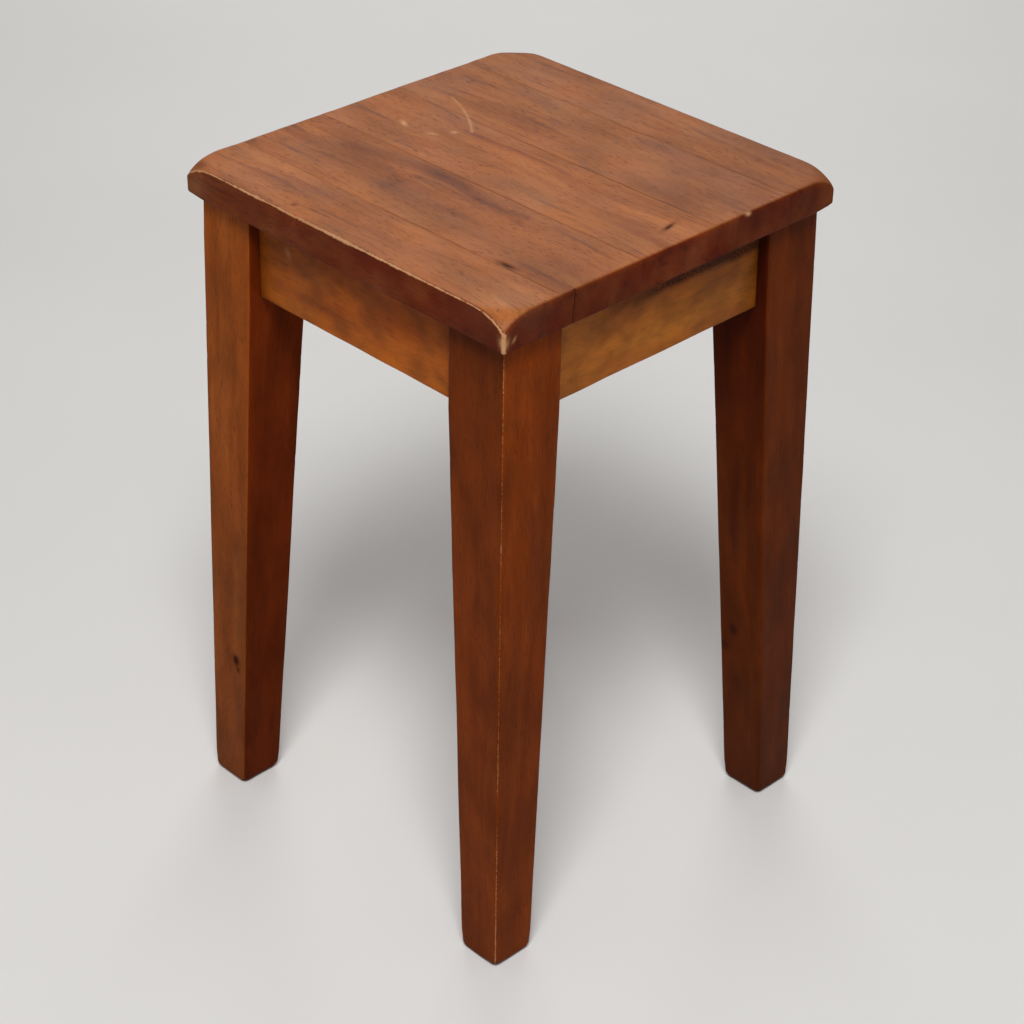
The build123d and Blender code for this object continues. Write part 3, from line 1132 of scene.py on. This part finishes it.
@dataclass
class Apron:
    """A board between two legs, shouldered to their slope, with a stub tenon at each end."""

    lower_radius: float = 1.6 * MM
    upper_radius: float = 0.4 * MM
    step: float = 1.6 * MM
    hollow: float = 0.08 * MM
    painted_shadow_reach: float = 12.9 * MM
    painted_shade_reach: float = 28.0 * MM
    # For each side in turn: how light the stain is in the middle, then at the left and the right end
    # beside it, how dark the painted shadow under the seat lies, and how dark the painted shade in the upper
    # part is.
    tints: tuple[float, ...] = (0.97, 1.0, 1.0, 1.0)
    ends: tuple[tuple[float, float], ...] = ((0.68, 1.0), (1.0, 0.72), (1.0, 1.0), (1.0, 1.0))
    painted_shadow_strengths: tuple[float, ...] = (0.2, 1.0, 0.6, 0.6)
    painted_shade_depths: tuple[float, ...] = (0.36, 0.1, 0.3, 0.3)
    scuffs: tuple[Mark, ...] = (Mark((-0.058, -0.122, 0.413), (-1, 0, 2), 7 * MM, 4 * MM, 0.0, 0.25),)
    low: Array = field(init=False)
    high: Array = field(init=False)
    shoulders: tuple[float, float] = field(init=False)
    tenon_low: Array = field(init=False)
    tenon_high: Array = field(init=False)

    def __post_init__(self) -> None:
        """Reads the front apron's board and tenons from its CAD node."""
        points = node_points("apron_front")
        self.low, self.high = points.min(axis=0), points.max(axis=0)
        bottom = points[points[:, 2] < self.low[2] + 0.05 * MM]
        top = points[points[:, 2] > self.high[2] - 0.05 * MM]
        self.shoulders = (bottom[:, 0].max(), top[:, 0].max())
        end = points[points[:, 0] > self.high[0] - 0.05 * MM]
        self.tenon_low, self.tenon_high = end.min(axis=0), end.max(axis=0)

    def surface(self, side: Side) -> Surface:
        """One apron: a section carried along the board that steps in to the tenon at each shoulder.

        Args:
            side: which apron.

        Returns:
            The apron's surface in its place.
        """
        seed = 400 + 10 * side.value
        board = grid_lines(-1, 1, 0.02, 0.06, 0.012)
        tenon = 1 + np.linspace(0, 1, 6)
        along = np.concatenate([-tenon[::-1], board, tenon])
        # The shoulder is where two rows of the grid share a place: the board's last and the tenon's first.
        spaced = np.arange(len(along), dtype=float)
        lines = [
            spaced,
            grid_lines(self.low[1], self.high[1], self.step, 2 * MM, 0.5 * MM),
            grid_lines(self.low[2], self.high[2], self.step, 2 * MM, 0.5 * MM),
        ]
        unit, quads = box_grid(lines)
        rank = unit[:, 0].astype(int)
        is_tenon = (rank < len(tenon)) | (rank >= len(tenon) + len(board))
        edges = [
            WornEdge((Axis.Y, Axis.Z), (self.low[1], self.low[2]), 0.45 * MM),
            WornEdge((Axis.Y, Axis.Z), (self.high[1], self.low[2]), 0.3 * MM),
        ]
        spread = np.column_stack([along[rank] * self.shoulders[0], unit[:, 1], unit[:, 2]])
        worn = worn_depth(spread, edges, seed)
        wander = 1 + 0.3 * noise(spread, 20 * MM, seed + 6)
        lower, upper = self.lower_radius * wander, self.upper_radius
        section = round_edges(
            unit, (Axis.Y, Axis.Z), self.low[1:], self.high[1:], (lower, lower, upper, upper)
        )
        for axis in (1, 2):
            share = (section[:, axis] - self.low[axis]) / (self.high[axis] - self.low[axis])
            inset = self.tenon_low[axis] + share * (self.tenon_high[axis] - self.tenon_low[axis])
            section[:, axis] = np.where(is_tenon, inset, section[:, axis])
        share = (section[:, 2] - self.low[2]) / (self.high[2] - self.low[2])
        shoulder = self.shoulders[0] + share * (self.shoulders[1] - self.shoulders[0])
        position = along[rank]
        past = np.clip(np.abs(position) - 1, 0, 1)
        reach = np.abs(np.clip(position, -1, 1)) * shoulder + past * (self.high[0] - shoulder)
        points = section.copy()
        points[:, 0] = np.sign(position) * reach
        ripple = self.hollow * (1 + noise(points, (50 * MM, 20 * MM, 20 * MM), seed + 7))
        middle = (self.low[1] + self.high[1]) / 2
        points[:, 1] -= np.sign(points[:, 1] - middle) * ripple
        grain = points + np.random.default_rng(seed).uniform(-0.4, 0.4, 3)
        below_seat = self.high[2] - points[:, 2]
        beside_leg = shoulder - np.abs(points[:, 0])
        blotch = 0.9 + 0.2 * noise(points, (18 * MM, 18 * MM, 8 * MM), seed + 8)
        # A painted shadow: a dark band just under the seat's edge, where its overhang shades the apron.
        wander = 1.5 * MM * noise(points, 9 * MM, seed + 9) + 1.2 * MM * noise(points, 40 * MM, seed + 10)
        line = np.exp(-((np.clip(below_seat + wander - self.painted_shadow_reach, 0, 1) / (3.2 * MM)) ** 2))
        # Darker within a few millimetres of each leg.
        by_leg_darkening = np.exp(-np.clip(beside_leg, 0, 1) / (3.5 * MM))
        # The painted shadow under the seat thins out towards the board's left end.
        line = line * np.clip(0.68 + 0.85 * position + 0.2 * blotch, 0, 1)
        dirt_and_shade = np.clip((self.painted_shadow_strengths[side.value] * line + 0.35 * by_leg_darkening) * blotch, 0, 0.95)
        # Painted shade: the upper part under the seat is darker, with a cloudy lower limit.
        fade = (below_seat - self.painted_shade_reach + 9 * MM * noise(points, 34 * MM, seed + 11)) / (16 * MM)
        darkening = self.painted_shade_depths[side.value] * np.clip(0.5 - fade, 0, 1) * (1 + 0.5 * np.clip(position, -1, 0))
        mark = np.zeros(len(points))
        for one in self.scuffs if side is Side.FRONT else ():
            mark += one.tone * one.strength(points)
        # The stain darkens towards one end of the front and right boards.
        left_tint, right_tint = self.ends[side.value]
        tint = self.tints[side.value] * np.interp(position, (-1, 0, 1), (left_tint, 1, right_tint))
        points = quarter_turns(points, side.value)
        return Surface(points, quads, grain, worn, dirt_and_shade, darkening, tint, mark, np.zeros(len(points)))

    def build(self) -> None:
        """Builds the four aprons."""
        for side in Side:
            node = f"apron_{side.label}"
            finish = PALE_APRON_FINISH if side is Side.RIGHT else APRON_FINISH
            self.surface(side).piece(f"{node}_wood", finish, "apron_wood", [node])


# ---------------------------------------------------------------- below the seat


@dataclass
class CornerHardware:
    """The corner blocks and screws, which keep their CAD shapes and get their own finishes."""

    screws: tuple[str, ...] = ("apron_screws", "seat_screws", "leg_screws")

    def build(self) -> None:
        """Dresses the blocks and screws."""
        for corner in Corner:
            turn = math.radians(-45 if corner.value % 2 == 0 else 45)
            finish = BareRubberwood(f"rubberwood_sawn_{corner.value % 2}", turn=turn)
            self.dress(f"corner_block_{corner.label}", finish)
        for name in self.screws:
            self.dress(name, ZincedSteel("steel_zinc_plated"))

    def dress(self, node: str, finish: Finish) -> None:
        """Gives a CAD node its finish.

        Args:
            node: the node's name.
            finish: what it is made of.
        """
        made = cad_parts[node]
        for place in made.material_slots:
            place.material = finish.material()
        LOG.info("%s: %s", node, finish.name)


# ---------------------------------------------------------------- the studio


@dataclass
class Studio:
    """A pale floor, soft lights and the camera. Angles are in degrees and powers in watts."""

    azimuth: float = 45.42
    elevation: float = 32.57
    roll: float = 0.96
    distance: float = 1.48262
    target: tuple[float, float, float] = (0.03543, -0.02885, 0.23930)
    lens: float = 84.46
    floor_half: float = 6.0
    floor_lines: int = 9
    lit_place: tuple[float, float, float] = (0, 0, 0.45)
    key_power: float = 57.0
    key_size: float = 0.9
    key_place: tuple[float, float, float] = (0.95, -1.05, 2.6)
    card_power: float = 22.5
    card_colour: tuple[float, float, float] = (1.0, 0.92, 0.86)
    card_size: float = 2.4
    card_distance: float = 3.0
    fill_power: float = 15.0
    fill_size: float = 1.6
    fill_place: tuple[float, float, float] = (-1.7, 1.7, 1.3)
    room_level: float = 0.25
    room_colour: tuple[float, float, float, float] = (1.0, 0.98, 0.96, 1)

    def build(self) -> None:
        """Builds the camera, the floor and the lights."""
        self.camera()
        self.floor()
        self.lights()

    def line_of_sight(self, side: int) -> Vector:
        """A direction at the camera's angles.

        Args:
            side: 1 for the way from the stool to the camera, and -1 for its mirror image behind.

        Returns:
            The direction, of length 1.
        """
        az, el = math.radians(self.azimuth), math.radians(self.elevation)
        return Vector((side * math.sin(az) * math.cos(el), -side * math.cos(az) * math.cos(el), math.sin(el)))

    def camera(self) -> None:
        """Sets the camera on its line of sight, rolled a little about it."""
        back, roll = self.line_of_sight(1), math.radians(self.roll)
        level = (-back).cross(Vector((0, 0, 1))).normalized()
        rise = level.cross(-back)
        right = math.cos(roll) * level + math.sin(roll) * rise
        up = math.cos(roll) * rise - math.sin(roll) * level
        data = bpy.data.cameras.new("camera")
        data.lens = self.lens
        data.sensor_width = 36.0
        made = bpy.data.objects.new("camera", data)
        turn = Matrix((right, up, back)).transposed().to_4x4()
        made.matrix_world = Matrix.Translation(Vector(self.target) + back * self.distance) @ turn
        bpy.context.scene.collection.objects.link(made)
        bpy.context.scene.camera = made

    def floor(self) -> None:
        """Lays the floor: a square grid at height nought."""
        line = np.linspace(-self.floor_half, self.floor_half, self.floor_lines)
        x, y = np.meshgrid(line, line)
        points = np.column_stack([x.ravel(), y.ravel(), np.zeros(x.size)])
        numbers = np.arange(x.size).reshape(x.shape)
        ring = [numbers[:-1, :-1], numbers[:-1, 1:], numbers[1:, 1:], numbers[1:, :-1]]
        quads = np.stack([one.ravel() for one in ring], axis=1)
        mesh = bpy.data.meshes.new("floor")
        mesh.from_pydata(points.tolist(), [], quads.tolist())
        mesh.materials.append(PaleFloor().material())
        made = bpy.data.objects.new("floor", mesh)
        bpy.context.scene.collection.objects.link(made)

    def area(self, name: str, place: Vector, size: float, power: float) -> bpy.types.Object:
        """Hangs one square area light, aimed at the middle of the seat's top.

        Args:
            name: the light's name.
            place: where it hangs.
            size: its side.
            power: its power in watts.

        Returns:
            The light's object.
        """
        data = bpy.data.lights.new(name, "AREA")
        data.shape = "SQUARE"
        data.size = size
        data.energy = power
        made = bpy.data.objects.new(name, data)
        turn = (Vector(self.lit_place) - place).to_track_quat("-Z", "Y").to_matrix().to_4x4()
        made.matrix_world = Matrix.Translation(place) @ turn
        bpy.context.scene.collection.objects.link(made)
        return made

    def lights(self) -> None:
        """Hangs a soft key high on the camera's side, and a fill and a reflection card behind the stool."""
        world = bpy.data.worlds.new("room")
        world.use_nodes = True
        background = world.node_tree.nodes["Background"]
        background.inputs["Color"].default_value = self.room_colour
        background.inputs["Strength"].default_value = self.room_level
        bpy.context.scene.world = world
        self.area("key", Vector(self.key_place), self.key_size, self.key_power)
        fill = self.area("fill", Vector(self.fill_place), self.fill_size, self.fill_power)
        # The fill only lifts the shade on the far sides: it leaves no highlight on the seat.
        fill.visible_glossy = False
        card_place = Vector(self.lit_place) + self.line_of_sight(-1) * self.card_distance
        card = self.area("card", card_place, self.card_size, self.card_power)
        # The card only shows as the low sheen on the seat: it doesn't light the room.
        card.visible_diffuse = False
        card.data.color = self.card_colour
        bpy.context.scene.view_settings.view_transform = "Standard"


def main() -> None:
    """Builds the stool and its studio in order."""
    logging.basicConfig(level=logging.INFO, format="%(name)s: %(message)s")
    for assembly in (Studio(), Seat(), Leg(), Apron(), CornerHardware()):
        LOG.info("building %s", type(assembly).__name__)
        assembly.build()


if __name__ == "__main__":
    main()
